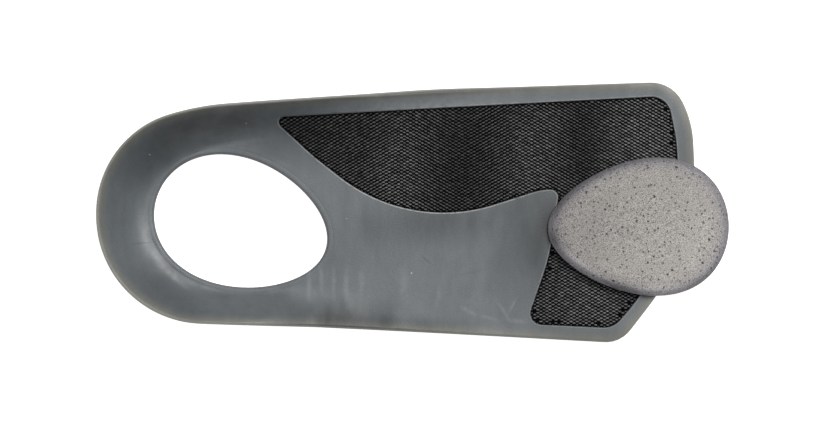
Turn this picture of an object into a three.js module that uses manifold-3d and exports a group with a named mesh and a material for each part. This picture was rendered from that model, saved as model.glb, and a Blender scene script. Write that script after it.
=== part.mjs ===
// Three-quarter-length insole for a right foot, with a metatarsal pad stuck on its front.
// Millimetres. +X runs from heel to toes, +Y to the inner side of the foot, +Z up.
// The origin is under the middle of the whole thing, on the surface that it lies on.

import * as THREE from "three";
import { mergeVertices } from "three/addons/utils/BufferGeometryUtils.js";
import Module from "manifold-3d";

const wasm = await Module();
wasm.setup();

// Thicknesses and clearances
const WALL = 3;
const HALF_WALL = WALL / 2;
const HALF_RIM = 0.6;
const RIM_REACH = 0.7;
const OPENING_REACH = 0.9;
const FULL_TAPER_RISE = 10;
const RECESS_DEPTH = 1.3;
const CLOTH_THICKNESS = 0.8;
const GAP = 0.3;
const CUT_MARGIN = 5;

// Plan of the shell: corners in counter-clockwise order, each rounded to its radius.
const SHELL_CORNERS = [
  { x: -95.2, y: -31.9, radius: 32 },
  { x: -29.9, y: -34.2, radius: 300 },
  { x: 62.2, y: -39.2, radius: 9.2 },
  { x: 85.7, y: -8.8, radius: 69.5 },
  { x: 83.8, y: 27.3, radius: 30 },
  { x: 77.9, y: 39.4, radius: 10.5 },
  { x: 6.9, y: 37, radius: 400 },
  { x: -63.5, y: 31.6, radius: 82.5 },
  { x: -93.4, y: 22.6, radius: 30.5 },
];

// Plan of the cloth: tip on the arch, belly, tongue notch, lower lobe, then the front edge.
const CLOTH_CORNERS = [
  { x: -42.1, y: 28.2, radius: 1.5 },
  { x: -30.2, y: 17.2, radius: 60 },
  { x: -1.1, y: -5.6, radius: 50.5 },
  { x: 37.8, y: 6.9, radius: 20 },
  { x: 44, y: 7.3, radius: 2.5 },
  { x: 40.8, y: -13.5, radius: 59.9 },
  { x: 33.9, y: -33.3, radius: 3.3 },
  { x: 59.9, y: -34.5, radius: 6.4 },
  { x: 80.7, y: -10.4, radius: 63.7 },
  { x: 78.7, y: 21.9, radius: 36 },
  { x: 76.1, y: 34.9, radius: 5.8 },
  { x: 3.4, y: 31.05, radius: 400 },
];

// Egg-shaped plans. A positive taper puts the blunt end at the toes.
const OPENING = { x: -51.8, y: -3.3, length: 53, width: 38.4, taper: -0.126, tilt: -16.7 };
const PAD_PLAN = { x: 67.4, y: -4.3, length: 54.2, width: 40.5, taper: 0.225, tilt: 1.3 };

// Section of the shell along a spoke from the opening to the rim, by the spoke's bearing.
// Rise is how far the wall climbs, share is how much of the spoke it takes up, and flare turns
// its upper end back towards level.
const SPOKE_SECTIONS = [
  { bearing: -17, rise: 0, share: 0.6, flare: 0 },
  { bearing: 12, rise: 0, share: 0.7, flare: 0 },
  { bearing: 19, rise: 0.3, share: 0.84, flare: 0 },
  { bearing: 23, rise: 0.7, share: 0.86, flare: 0 },
  { bearing: 28, rise: 1.4, share: 0.9, flare: 0 },
  { bearing: 35, rise: 3.6, share: 0.94, flare: 0 },
  { bearing: 47, rise: 8.6, share: 0.94, flare: 0 },
  { bearing: 65, rise: 13.5, share: 0.9, flare: 0.05 },
  { bearing: 90, rise: 16, share: 0.88, flare: 0.06 },
  { bearing: 105, rise: 16.2, share: 0.93, flare: 0.17 },
  { bearing: 120, rise: 16, share: 0.98, flare: 0.28 },
  { bearing: 140, rise: 14, share: 0.99, flare: 0.32 },
  { bearing: 160, rise: 12, share: 0.97, flare: 0.25 },
  { bearing: 180, rise: 10.5, share: 0.95, flare: 0.1 },
  { bearing: 200, rise: 10, share: 0.96, flare: 0.15 },
  { bearing: 230, rise: 9.4, share: 0.97, flare: 0.35 },
  { bearing: 270, rise: 9, share: 0.97, flare: 0.58 },
  { bearing: 290, rise: 7.4, share: 0.96, flare: 0.58 },
  { bearing: 305, rise: 4.2, share: 0.9, flare: 0.5 },
  { bearing: 320, rise: 1.6, share: 0.8, flare: 0.3 },
  { bearing: 332, rise: 0.4, share: 0.7, flare: 0 },
  { bearing: 343, rise: 0, share: 0.6, flare: 0 },
];

// Rings of the domed pad from its sole to its crown: share of the plan, and height over the sole.
const PAD_RINGS = [
  { share: 0.6, height: 0 },
  { share: 0.97, height: 0 },
  { share: 1, height: 0.4 },
  { share: 1, height: 0.9 },
  { share: 0.979, height: 2.5 },
  { share: 0.947, height: 4.2 },
  { share: 0.895, height: 5.35 },
  { share: 0.79, height: 6 },
  { share: 0.65, height: 6.2 },
  { share: 0.4, height: 6.33 },
  { share: 0.1, height: 6.4 },
];

// Fineness of the surfaces
const SPOKE_COUNT = 112;
const SPOKE_STEPS = [0, 0.14, 0.3, 0.45, 0.6, 0.73, 0.84, 0.93, 1];
const EDGE_STEPS = 4;
const CLOTH_EDGE_POINTS = 110;
const PAD_POINTS = 48;
const SLOPE_STEP = 0.01;

// Closed path through corners, with an arc of each corner's radius.
function roundedPath(corners) {
  const path = new THREE.Path();
  const count = corners.length;
  corners.forEach((corner, index) => {
    const point = new THREE.Vector2(corner.x, corner.y);
    const before = corners[(index + count - 1) % count];
    const after = corners[(index + 1) % count];
    const back = new THREE.Vector2(before.x, before.y).sub(point).normalize();
    const ahead = new THREE.Vector2(after.x, after.y).sub(point).normalize();
    const half = Math.acos(back.dot(ahead)) / 2;
    const middle = back.clone().add(ahead).setLength(corner.radius / Math.sin(half)).add(point);
    const reach = corner.radius / Math.tan(half);
    const start = back.multiplyScalar(reach).add(point).sub(middle).angle();
    const end = ahead.multiplyScalar(reach).add(point).sub(middle).angle();
    const turn = THREE.MathUtils.euclideanModulo(end - start, 2 * Math.PI);
    path.absarc(middle.x, middle.y, corner.radius, start, end, turn > Math.PI);
  });
  path.closePath();
  return path;
}

// Points at even steps round a closed path, moved outwards by grow.
function outlinePoints(corners, count, grow) {
  const points = roundedPath(corners).getSpacedPoints(count).slice(0, count);
  return points.map((point, index) => {
    const before = points[(index + count - 1) % count];
    const after = points[(index + 1) % count];
    const along = after.clone().sub(before).normalize();
    return new THREE.Vector2(point.x + along.y * grow, point.y - along.x * grow);
  });
}

// Point of an egg-shaped plan at an angle, with the plan grown on all sides.
function eggPoint(plan, angle, grow = 0) {
  const long = (plan.length / 2 + grow) * Math.cos(angle);
  const wide = (plan.width / 2 + grow) * Math.sin(angle) * (1 + plan.taper * Math.cos(angle));
  const turned = new THREE.Vector2(long, wide);
  turned.rotateAround(new THREE.Vector2(), THREE.MathUtils.degToRad(plan.tilt));
  return turned.add(new THREE.Vector2(plan.x, plan.y));
}

// Smooth value of one column of a table at a bearing, never past the rows on either side.
function columnAt(rows, column, bearing) {
  const slope = (index) => {
    const low = rows[index];
    const high = rows[index + 1];
    return (high[column] - low[column]) / (high.bearing - low.bearing);
  };
  const tangent = (index) => {
    if (index === 0 || index === rows.length - 1) return 0;
    const left = slope(index - 1);
    const right = slope(index);
    return left * right > 0 ? (2 * left * right) / (left + right) : 0;
  };
  const found = rows.findIndex((row) => row.bearing > bearing);
  const next = found < 0 ? rows.length - 1 : Math.max(found, 1);
  const low = rows[next - 1];
  const high = rows[next];
  const run = high.bearing - low.bearing;
  const part = THREE.MathUtils.clamp((bearing - low.bearing) / run, 0, 1);
  const rise = high[column] - low[column];
  const ease = part * part * (3 - 2 * part);
  const leave = part * (1 - part) * (1 - part) * run * tangent(next - 1);
  const arrive = part * part * (part - 1) * run * tangent(next);
  return low[column] + rise * ease + leave + arrive;
}

// Spokes from the edge of the opening to the rim, at the middle of the wall.
function makeSpokes() {
  const firstBearing = SPOKE_SECTIONS[0].bearing;
  const outline = outlinePoints(SHELL_CORNERS, SPOKE_COUNT, 0);
  const inside = outlinePoints(SHELL_CORNERS, SPOKE_COUNT, -1);
  return outline.map((edge, index) => {
    const angle = Math.atan2(edge.y - OPENING.y, edge.x - OPENING.x);
    const turned = THREE.MathUtils.radToDeg(angle) - firstBearing;
    const bearing = THREE.MathUtils.euclideanModulo(turned, 360) + firstBearing;
    const inner = eggPoint(OPENING, angle - THREE.MathUtils.degToRad(OPENING.tilt), OPENING_REACH);
    const rise = columnAt(SPOKE_SECTIONS, "rise", bearing);
    const share = columnAt(SPOKE_SECTIONS, "share", bearing);
    const flare = columnAt(SPOKE_SECTIONS, "flare", bearing);
    const taper = Math.min(1, rise / FULL_TAPER_RISE) * (HALF_WALL - HALF_RIM);
    const slope = Math.atan((2 * (1 - flare) * rise) / (share * edge.distanceTo(inner)));
    const tall = (HALF_WALL - taper) * Math.sin(slope);
    const wide = Math.min(HALF_WALL - taper, RIM_REACH) * Math.cos(slope);
    const rim = edge.clone().lerp(inside[index], Math.hypot(tall, wide));
    return { rim, inner, rise, share, flare, taper };
  });
}

// How far up its climb a spoke is at a step: 0 on the flat sole, 1 at the rim.
function climbAt(spoke, step) {
  return Math.max(0, 1 - (1 - step) / spoke.share);
}

// Half of the wall's thickness, which thins towards a high rim.
function halfAt(spoke, step) {
  return HALF_WALL - spoke.taper * climbAt(spoke, step) ** 4;
}

// Point at the middle of the wall: flat by the opening, then up to the rim.
function wallPoint(spoke, step) {
  const plan = spoke.inner.clone().lerp(spoke.rim, step);
  const climb = climbAt(spoke, step);
  const level = climb * climb * (1 + spoke.flare * (2 - 2 * climb));
  return new THREE.Vector3(plan.x, plan.y, HALF_WALL + spoke.rise * level);
}

// The wall's point, its normal, and the direction along the wall away from the opening.
function wallFrame(spokes, index, step) {
  const count = spokes.length;
  const point = wallPoint(spokes[index], step);
  const outer = wallPoint(spokes[index], step + SLOPE_STEP);
  const inner = wallPoint(spokes[index], step - SLOPE_STEP);
  const next = wallPoint(spokes[(index + 1) % count], step);
  const last = wallPoint(spokes[(index + count - 1) % count], step);
  const round = next.sub(last).normalize();
  const normal = outer.sub(inner).cross(round).normalize();
  return { point, normal, away: round.clone().cross(normal), half: halfAt(spokes[index], step) };
}

// Ring of points at one step of every spoke: at a depth under the top, or on the underside.
function topRing(spokes, step, depth = 0) {
  return spokes.map((_, index) => {
    const { point, normal, half } = wallFrame(spokes, index, step);
    return point.addScaledVector(normal, half - depth);
  });
}

function underRing(spokes, step) {
  return spokes.map((_, index) => {
    const { point, normal, half } = wallFrame(spokes, index, step);
    return point.addScaledVector(normal, -half);
  });
}

// Rings of a rounded edge: up the rim for side 1, down the edge of the opening for side -1.
function edgeRings(spokes, step, side, reach) {
  const rings = [];
  for (let ring = 1; ring < EDGE_STEPS; ring += 1) {
    const turn = (Math.PI * ring) / EDGE_STEPS;
    rings.push(spokes.map((_, index) => {
      const { point, normal, away, half } = wallFrame(spokes, index, step);
      point.addScaledVector(normal, -side * Math.cos(turn) * half);
      return point.addScaledVector(away, side * Math.sin(turn) * Math.min(half, reach));
    }));
  }
  return rings;
}

// Closed surface over rings of equal count, either looped or capped with a fan at each end.
function ringSurface(rings, looped) {
  const count = rings[0].length;
  const positions = rings.flat().flatMap((point) => point.toArray());
  const faces = [];
  const links = looped ? rings.length : rings.length - 1;
  for (let ring = 0; ring < links; ring += 1) {
    const here = ring * count;
    const there = ((ring + 1) % rings.length) * count;
    for (let index = 0; index < count; index += 1) {
      const next = (index + 1) % count;
      faces.push(here + index, here + next, there + next);
      faces.push(here + index, there + next, there + index);
    }
  }
  if (!looped) {
    const ends = [0, rings.length - 1];
    ends.forEach((ring) => {
      const centre = rings[ring].reduce((sum, point) => sum.add(point), new THREE.Vector3());
      positions.push(...centre.divideScalar(count).toArray());
      const pole = positions.length / 3 - 1;
      for (let index = 0; index < count; index += 1) {
        const edge = [ring * count + index, ring * count + ((index + 1) % count)];
        faces.push(...(ring === 0 ? [edge[1], edge[0], pole] : [edge[0], edge[1], pole]));
      }
    });
  }
  const geometry = new THREE.BufferGeometry();
  geometry.setAttribute("position", new THREE.Float32BufferAttribute(positions, 3));
  geometry.setIndex(faces);
  return geometry;
}

// Closed geometry as a solid that can be cut.
function toSolid(geometry) {
  const vertProperties = new Float32Array(geometry.attributes.position.array);
  const triVerts = new Uint32Array(geometry.index.array);
  return new wasm.Manifold(new wasm.Mesh({ numProp: 3, vertProperties, triVerts }));
}

// Cut solid as a geometry again.
function toGeometry(solid) {
  const mesh = solid.getMesh();
  const geometry = new THREE.BufferGeometry();
  geometry.setAttribute("position", new THREE.BufferAttribute(mesh.vertProperties, 3));
  geometry.setIndex(new THREE.BufferAttribute(mesh.triVerts, 1));
  return geometry;
}

// Upright prism over the cloth's plan, grown on all sides, tall enough to pass through the wall.
function clothPrism(grow) {
  const shape = new THREE.Shape(outlinePoints(CLOTH_CORNERS, CLOTH_EDGE_POINTS, grow));
  const height = Math.max(...SPOKE_SECTIONS.map((row) => row.rise)) + WALL + 2 * CUT_MARGIN;
  const prism = new THREE.ExtrudeGeometry(shape, { depth: height, bevelEnabled: false });
  prism.translate(0, 0, -CUT_MARGIN);
  prism.deleteAttribute("normal");
  prism.deleteAttribute("uv");
  return toSolid(mergeVertices(prism));
}

// Layer that follows the wall, between two depths under its top surface, inside the cloth's plan.
function clothLayer(spokes, shallow, deep, grow) {
  const top = SPOKE_STEPS.map((step) => topRing(spokes, step, shallow));
  const under = SPOKE_STEPS.map((step) => topRing(spokes, step, deep));
  return toSolid(ringSurface([...under, ...top.reverse()], true)).intersect(clothPrism(grow));
}

// Moulded shell: cupped heel, rounded edges and a recess that takes the cloth.
function makeShell(spokes) {
  const rings = [
    ...SPOKE_STEPS.map((step) => underRing(spokes, step)),
    ...edgeRings(spokes, 1, 1, RIM_REACH),
    ...SPOKE_STEPS.map((step) => topRing(spokes, step)).reverse(),
    ...edgeRings(spokes, 0, -1, OPENING_REACH),
  ];
  const recess = clothLayer(spokes, -WALL, RECESS_DEPTH, GAP);
  return toGeometry(toSolid(ringSurface(rings, true)).subtract(recess));
}

// Woven panel that lies in the recess.
function makeCloth(spokes) {
  const deep = RECESS_DEPTH - GAP;
  return toGeometry(clothLayer(spokes, deep - CLOTH_THICKNESS, deep, 0));
}

// Domed foam pad with a flat sole.
function makePad() {
  const middle = new THREE.Vector2(PAD_PLAN.x, PAD_PLAN.y);
  const rings = PAD_RINGS.map(({ share, height }) => {
    const ring = [];
    for (let index = 0; index < PAD_POINTS; index += 1) {
      const edge = eggPoint(PAD_PLAN, (2 * Math.PI * index) / PAD_POINTS);
      const plan = middle.clone().lerp(edge, share);
      ring.push(new THREE.Vector3(plan.x, plan.y, height));
    }
    return ring;
  });
  return ringSurface(rings, false);
}

function addPiece(group, name, geometry, look) {
  geometry.computeVertexNormals();
  const mesh = new THREE.Mesh(geometry, new THREE.MeshStandardMaterial(look));
  mesh.name = name;
  group.add(mesh);
  return mesh;
}

const insole = new THREE.Group();
const spokes = makeSpokes();
const RUBBER = { color: 0x6a6c6e, roughness: 0.5, metalness: 0 };
const WOVEN = { color: 0x1b1b1d, roughness: 0.8, metalness: 0 };
const FOAM = { color: 0x9d9997, roughness: 0.95, metalness: 0 };
addPiece(insole, "insole_shell", makeShell(spokes), RUBBER);
addPiece(insole, "cloth_panel", makeCloth(spokes), WOVEN);
const pad = addPiece(insole, "metatarsal_pad", makePad(), FOAM);
pad.position.z = WALL + GAP;

export default insole;
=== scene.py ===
"""Part-length insole with a metatarsal pad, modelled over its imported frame.

Metres, in the frame's own axes: +X from heel to toes, +Y to the inner side of the foot, +Z up.
"""

import math
from collections import namedtuple

import bmesh
import bpy
import numpy as np
from bpy.props import FloatProperty, FloatVectorProperty, IntProperty, PointerProperty
from bpy.types import Operator, Panel, PropertyGroup
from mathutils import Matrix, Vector
from mathutils.bvhtree import BVHTree
from mathutils.kdtree import KDTree


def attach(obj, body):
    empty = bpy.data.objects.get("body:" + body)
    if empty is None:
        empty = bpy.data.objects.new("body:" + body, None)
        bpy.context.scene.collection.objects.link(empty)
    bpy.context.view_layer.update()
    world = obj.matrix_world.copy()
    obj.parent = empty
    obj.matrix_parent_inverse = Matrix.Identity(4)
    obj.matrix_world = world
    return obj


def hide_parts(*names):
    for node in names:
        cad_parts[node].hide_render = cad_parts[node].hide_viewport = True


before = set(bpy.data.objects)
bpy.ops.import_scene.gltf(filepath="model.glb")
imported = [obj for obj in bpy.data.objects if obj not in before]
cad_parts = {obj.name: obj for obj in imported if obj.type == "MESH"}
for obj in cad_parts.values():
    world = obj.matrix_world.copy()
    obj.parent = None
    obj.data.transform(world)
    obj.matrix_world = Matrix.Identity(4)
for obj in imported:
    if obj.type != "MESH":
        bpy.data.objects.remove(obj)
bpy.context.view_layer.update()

bl_info = {
    "name": "Insole with metatarsal pad",
    "version": (1, 0, 0),
    "blender": (4, 5, 0),
    "location": "3D View > Sidebar > Insole",
    "description": "Models a moulded insole, its woven panel and its foam pad",
    "category": "Add Mesh",
}

BODY = "root"
MM = 0.001

# Edges of the shell.
HALF_RIM = 0.6 * MM
RIM_REACH = 0.7 * MM
OPENING_REACH = 0.9 * MM
FULL_TAPER_RISE = 10 * MM

# Plans and sections, in millimetres and degrees.
Corner = namedtuple("Corner", "x y radius")
Egg = namedtuple("Egg", "x y length width taper tilt")
Section = namedtuple("Section", "bearing rise share flare")
Ring = namedtuple("Ring", "share height")
Scuff = namedtuple("Scuff", "x y length width turn strength")


def named(kind, rows):
    """Table of plain rows, each made into a named one."""
    return tuple(kind(*row) for row in rows)


# Plan of the shell, counter-clockwise from the outer side of the heel.
SHELL_CORNERS = named(Corner, (
    (-95.2, -31.9, 32), (-29.9, -34.2, 300), (62.2, -39.2, 9.2), (85.7, -8.8, 69.5),
    (83.8, 27.3, 30), (77.9, 39.4, 10.5), (6.9, 37, 400), (-63.5, 31.6, 82.5), (-93.4, 22.6, 30.5),
))

# Plan of the cloth: tip on the arch, belly, tongue notch, lower lobe, then the front edge.
CLOTH_CORNERS = named(Corner, (
    (-42.1, 28.2, 1.5), (-30.2, 17.2, 60), (-1.1, -5.6, 50.5), (37.8, 6.9, 20), (44, 7.3, 2.5),
    (40.8, -13.5, 59.9), (33.9, -33.3, 3.3), (59.9, -34.5, 6.4), (80.7, -10.4, 63.7),
    (78.7, 21.9, 36), (76.1, 34.9, 5.8), (3.4, 31.05, 400),
))

OPENING = Egg(-51.8, -3.3, 53, 38.4, -0.126, -16.7)
PAD_PLAN = Egg(67.4, -4.3, 54.2, 40.5, 0.225, 1.3)

# The wall by bearing from the opening: how far it climbs, the share of the spoke that it takes,
# and how far its upper end turns back towards level.
SPOKE_SECTIONS = named(Section, (
    (-17, 0, 0.6, 0), (12, 0, 0.7, 0), (19, 0.3, 0.84, 0), (23, 0.7, 0.86, 0), (28, 1.4, 0.9, 0),
    (35, 3.6, 0.94, 0), (47, 8.6, 0.94, 0), (65, 13.5, 0.9, 0.05), (90, 16, 0.88, 0.06),
    (105, 16.2, 0.93, 0.17), (120, 16, 0.98, 0.28), (140, 14, 0.99, 0.32), (160, 12, 0.97, 0.25),
    (180, 10.5, 0.95, 0.1), (200, 10, 0.96, 0.15), (230, 9.4, 0.97, 0.35), (270, 9, 0.97, 0.58),
    (290, 7.4, 0.96, 0.58), (305, 4.2, 0.9, 0.5), (320, 1.6, 0.8, 0.3), (332, 0.4, 0.7, 0),
    (343, 0, 0.6, 0),
))

# Section of the foam pad from the middle of its sole, round its edge, to its crown.
PAD_RINGS = named(Ring, (
    (0, 0), (0.5, 0), (0.9, 0), (0.985, 0.02), (1, 0.3), (1, 0.9), (0.992, 1.6), (0.979, 2.5),
    (0.964, 3.4), (0.947, 4.2), (0.925, 4.85), (0.895, 5.35), (0.855, 5.71), (0.79, 6), (0.65, 6.2),
    (0.4, 6.33), (0, 6.4),
))

# Marks on the shell: pale ones, partly rubbed marks and dust and partly painted highlights; narrow dark
# scratches; and broad patches of painted shade.
# Pale: rubbed patches, vertical streaks, scuffs and specks of dust, and painted highlights: strokes beside
# the opening's lower left, and lighter stretches of the arch band, the shelf above the opening and the lower
# edge.
PALE_MARKS_AND_HIGHLIGHTS = named(Scuff, (
    (-6, -21, 64, 16, 0, 0.14), (24, -35.5, 50, 7, -4, 0.14), (14, -27, 50, 10, 0, 0.12),
    (-47, -27.5, 36, 14, -3, 0.15), (2, 31.6, 80, 8, 3.5, 0.6), (44, 33.4, 70, 7, 3, 0.2),
    (-48, 22.5, 36, 10, 4, 0.16), (-80, -5, 16, 7, 97, 0.5), (-75.5, -14.5, 20, 4.5, 127, 0.55),
    (-77.5, -11, 9, 1.6, 117, 0.4), (-71, -20, 14, 2.6, 140, 0.4), (-52, 21, 30, 2.4, 8, 0.2),
    (-31.4, -21, 16, 2.6, 90, 0.32), (-27.6, -20, 14, 2.4, 92, 0.36),
    (-23.9, -20.5, 15, 2.3, 90, 0.32), (-20.2, -21.5, 15, 2.5, 88, 0.34),
    (-15.6, -21, 14, 2.8, 90, 0.26), (-2.8, -21.5, 16, 5, 92, 0.26), (7.5, -25, 10, 2.6, 80, 0.2),
    (16.5, -29.5, 8, 2.4, 150, 0.34), (22.5, -31.5, 9, 1.8, 165, 0.32),
    (27, -29.5, 11, 1.8, 122, 0.34), (29.6, -28, 8, 1.3, 62, 0.36), (31, -32.5, 9, 2.2, 172, 0.32),
    (-0.6, -18.1, 0.8, 0.8, 0, 2.6), (-78.6, 17.3, 0.7, 0.6, 0, 2), (-49.8, 26.6, 0.7, 0.6, 0, 2),
))
DARK_MARKS = named(Scuff, (
    (-81.2, -9.1, 10, 0.9, 4, 0.45), (3.9, -14.2, 7, 0.9, -40, 0.4), (17, -18, 12, 1, 12, 0.2),
))
# Painted shade: darkest on the heel cup's inner walls, across the tongue as the pad's soft shadow, and along
# the lateral wall and lower border; it also darkens the arch band and the front border. The rubber is rougher
# under these patches.
PAINTED_SHADE_PATCHES = named(Scuff, (
    (-77, 20, 44, 28, 45, 0.85), (-56, 29, 66, 22, 4, 0.86), (-75, -24, 46, 20, -42, 0.6),
    (-22, -31.5, 58, 16, -2, 0.95), (6, -34, 52, 8, -4, 0.5), (-14, -33, 40, 8, -3, 0.2),
    (6, -3, 66, 22, 6, 0.65), (34, -8, 56, 40, 84, 0.8), (41, -6, 46, 18, 86, 0.3),
    (48, -37, 60, 10, -4, 0.42), (60, 37.5, 90, 12, 2, 0.3), (10, 36.7, 190, 5, 3, 0.8),
    (-33, 33.6, 70, 7, 3.8, 0.6), (-64, 27.5, 30, 12, 8, 0.35), (41.5, 0, 26, 9, 68, 0.45),
    (-51, 18.6, 36, 5, -12, 0.5), (34, 4, 26, 12, 20, 0.25), (81, 12, 70, 16, 92, 0.34),
))

# Stretch of the raised line round the recess where its painted highlight is strongest.
COLLAR_HIGHLIGHT_STRETCH = (Scuff(-2, 4, 130, 80, 0, 0.8),)

# Painted light and shade on the pad: paler towards the toes, along its outer edge and at its narrow end,
# where its sides face away from the light; the patch of negative strength paints shade over the narrow end.
FOAM_PAINTED_LIGHT_AND_SHADE = named(Scuff, (
    (90, -14, 80, 66, 0, 0.28), (49, -17.4, 76, 9, -36, 1.5), (72, -25, 50, 9, 5, 0.9),
    (46, -2, 46, 44, 0, -0.16), (39.6, -3, 46, 7, 86, 1.1),
))

# Bands of the cloth that catch the light, and bands that stay dark.
LIT_BANDS = named(Scuff, (
    (-4, 12, 70, 26, 84, 0.42), (36, 16, 60, 24, 84, 0.48), (70, 20, 70, 40, 90, 0.78),
    (52, -28, 50, 40, 0, 0.6),
))
DARK_BANDS = named(Scuff, (
    (15, 14, 70, 24, 80, 0.28), (52, 20, 50, 16, 88, 0.2), (-34, 26, 40, 26, 60, 0.14),
))

# Height of the middle of every mark, and how far it reaches up and down.
SCUFF_LEVEL = 5 * MM
SCUFF_DEPTH = 30 * MM

# Fine groove round the opening: distance from its edge and depth, in millimetres.
LIP_GROOVE = ((0, 0), (0.3, 0), (0.6, 0), (0.85, 0.006), (1, 0.03), (1.15, 0.006), (1.4, 0), (2, 0))
# Width of the band round the opening that carries a painted highlight.
LIP_BAND = 1.2 * MM

# Height of the pad's foot in millimetres, and where its cooler edge starts and how it deepens.
PAD_FOOT = 0.3
PAD_EDGE_START = 0.76
PAD_EDGE_SPAN = 0.2
PAD_EDGE_POWER = 1.5

# Slabs that cut the recess and raise the line round it, and how near and how proud that line is.
CUT_LOW = -1 * MM
CUT_HIGH = 40 * MM
CUT_PROUD = 0.2 * MM
CUTTER_HEIGHT = 6 * MM
COLLAR_ROOT = 0.3 * MM
COLLAR_REACH = 4
COLLAR_PROUD = 1 / 3
BLOCK_MARGIN = 2 * MM
MAP_MARGIN = 3 * MM

# Yarns by the axis that they run along. Lengths and widths are shares of the pitches.
Yarn = namedtuple("Yarn", "name look axis length width height stretch gloss")
WEFT = Yarn("weft_yarns", "Weft yarn", 0, 1.34, 1.08, 0.22 * MM, (0.12, 1.0, 1.0), 0.25)
WARP = Yarn("warp_yarns", "Warp yarn", 1, 1.2, 0.62, 0.1 * MM, (1.0, 0.12, 1.0), 0.02)

# Raised length of yarn: its points, how square its arch is, and how narrow, low and sunk its ends are.
FLOAT_ALONG = 5
FLOAT_ACROSS = 4
FLOAT_POINTS = FLOAT_ALONG * FLOAT_ACROSS
FLOAT_ARCH = 0.7
FLOAT_END_WIDTH = 0.6
FLOAT_END_RISE = 0.12
FLOAT_END_SINK = 0.25

# Small differences between the lengths of yarn, which are pressed flatter near the cloth's edge.
FLOAT_SIZES = (0.9, 1.08)
FLOAT_LIFTS = (0.75, 1.15)
FLOAT_SHADES = (0.65, 1.35)
FLOAT_DRIFT = 0.025 * MM
FLOAT_TURN = 0.04
PRESSED_EDGE = 0.6 * MM
PRESSED_LEAST = 0.5

# Lean of the weft in radians, by the place along the cloth in millimetres. It fades in across the cloth.
YARN_LEANS = (
    (-42, 0.2), (-28, 0.22), (-10, 0.28), (-4, 0), (5, -0.36), (13, -0.1), (23, 0.36), (32, 0),
    (42, -0.28), (52, -0.2), (62, -0.2), (72, -0.26),
)
LEAN_START = -14 * MM
LEAN_SPAN = 8 * MM

# Where the row of pricks runs: round the lobe, and along the front edge.
PRICK_START = 33 * MM
PRICK_LOBE = -6 * MM
PRICK_FRONT = 72 * MM

# Colours that no setting changes, and the shader's inputs by plain names.
# Colour of the shell's pale marks and of its painted highlights.
PALE_MARK_AND_HIGHLIGHT_COLOUR = (0.3, 0.301, 0.305)
DARK_MARK_COLOUR = (0.03, 0.032, 0.035)
DUST_COLOUR = (0.4, 0.4, 0.39)
LINT_COLOUR = (0.3, 0.3, 0.3)
FLECK_COLOUR = (0.42, 0.4, 0.38)
FLOOR_COLOUR = (0.6, 0.6, 0.6)
WHITE = (1.0, 1.0, 1.0, 1.0)
SHADER_INPUTS = {
    "colour": "Base Color",
    "roughness": "Roughness",
    "gloss": "Specular IOR Level",
    "glow_colour": "Emission Color",
    "glow": "Emission Strength",
}

# Lights: place, side of the square, and the setting that holds the power.
Light = namedtuple("Light", "name place size power")
LIGHTS = (
    Light("Key light", (0.46, 0.58, 1.3), 0.5, "key_power"),
    Light("Fill light", (-0.55, -0.5, 0.52), 0.4, "fill_power"),
    Light("Overhead panel", (0.0, 0.0, 1.2), 0.9, "panel_power"),
)
CAMERA_PLACE = (-0.45 * MM, 0.21 * MM)
SENSOR_WIDTH = 36.0

# Fineness of the meshes.
ARC_POINTS = 24
SPOKE_COUNT = 256
TOP_STEPS = 48
UNDER_STEPS = 12
EDGE_STEPS = 9
RIM_POINTS = 2000
LIP_POINTS = 600
CLOTH_EDGE_POINTS = 420
BLOCK_COLUMNS = 150
BLOCK_ROWS = 90
HEIGHT_MAP_STEP = 0.5 * MM
SLOPE_STEP = 0.01
PAD_SEGMENTS = 320
PAD_BANDS = 180
SMOOTH_ANGLE = math.radians(32)
SLIVER = 0.003 * MM


def length_setting(label, about, default, least=0.0):
    """Setting that is a length."""
    return FloatProperty(
        name=label, description=about, default=default, min=least, unit="LENGTH", subtype="DISTANCE",
    )


def colour_setting(label, about, default):
    """Setting that is a colour."""
    return FloatVectorProperty(
        name=label, description=about, default=default, min=0.0, max=1.0, subtype="COLOR",
    )


def power_setting(label, about, default):
    """Setting that is the power of a light."""
    return FloatProperty(name=label, description=about, default=default, min=0.0, unit="POWER")


class ShellSettings(PropertyGroup):
    """Sizes and finish of the moulded shell."""

    wall: length_setting("Wall", "Thickness of the shell's wall", 3 * MM, 1 * MM)
    recess_depth: length_setting("Recess depth", "Depth of the cloth's recess", 1.3 * MM, 0.5 * MM)
    recess_gap: length_setting("Recess gap", "Clearance round the cloth in its recess", 0.12 * MM)
    recess_chamfer: length_setting("Recess chamfer", "Width of the chamfer round the recess", 0.15 * MM)
    collar_width: length_setting("Collar width", "Width of the line round the recess", 0.3 * MM, 0.05 * MM)
    collar_height: length_setting("Collar height", "Height of the line round the recess", 0.1 * MM, 0.02 * MM)
    rim_band: length_setting("Rim band", "Width of the warm, worn band along the rim", 3.6 * MM)
    colour: colour_setting("Colour", "Colour of the moulded rubber", (0.088, 0.099, 0.105))
    rim_colour: colour_setting("Rim colour", "Colour of the rubbed rim", (0.18, 0.173, 0.14))
    # The edge colour is a painted highlight along the outermost edge of the rim.
    edge_colour: colour_setting("Edge colour", "Colour of the bare outermost edge", (0.34, 0.336, 0.325))
    # The line round the recess carries a painted highlight in this colour.
    collar_highlight_colour: colour_setting("Collar colour", "Colour of the line round the recess", (0.28, 0.285, 0.28))
    roughness: FloatProperty(
        name="Roughness", description="Roughness of the moulded rubber",
        default=0.5, min=0.0, max=1.0, subtype="FACTOR",
    )


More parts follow.
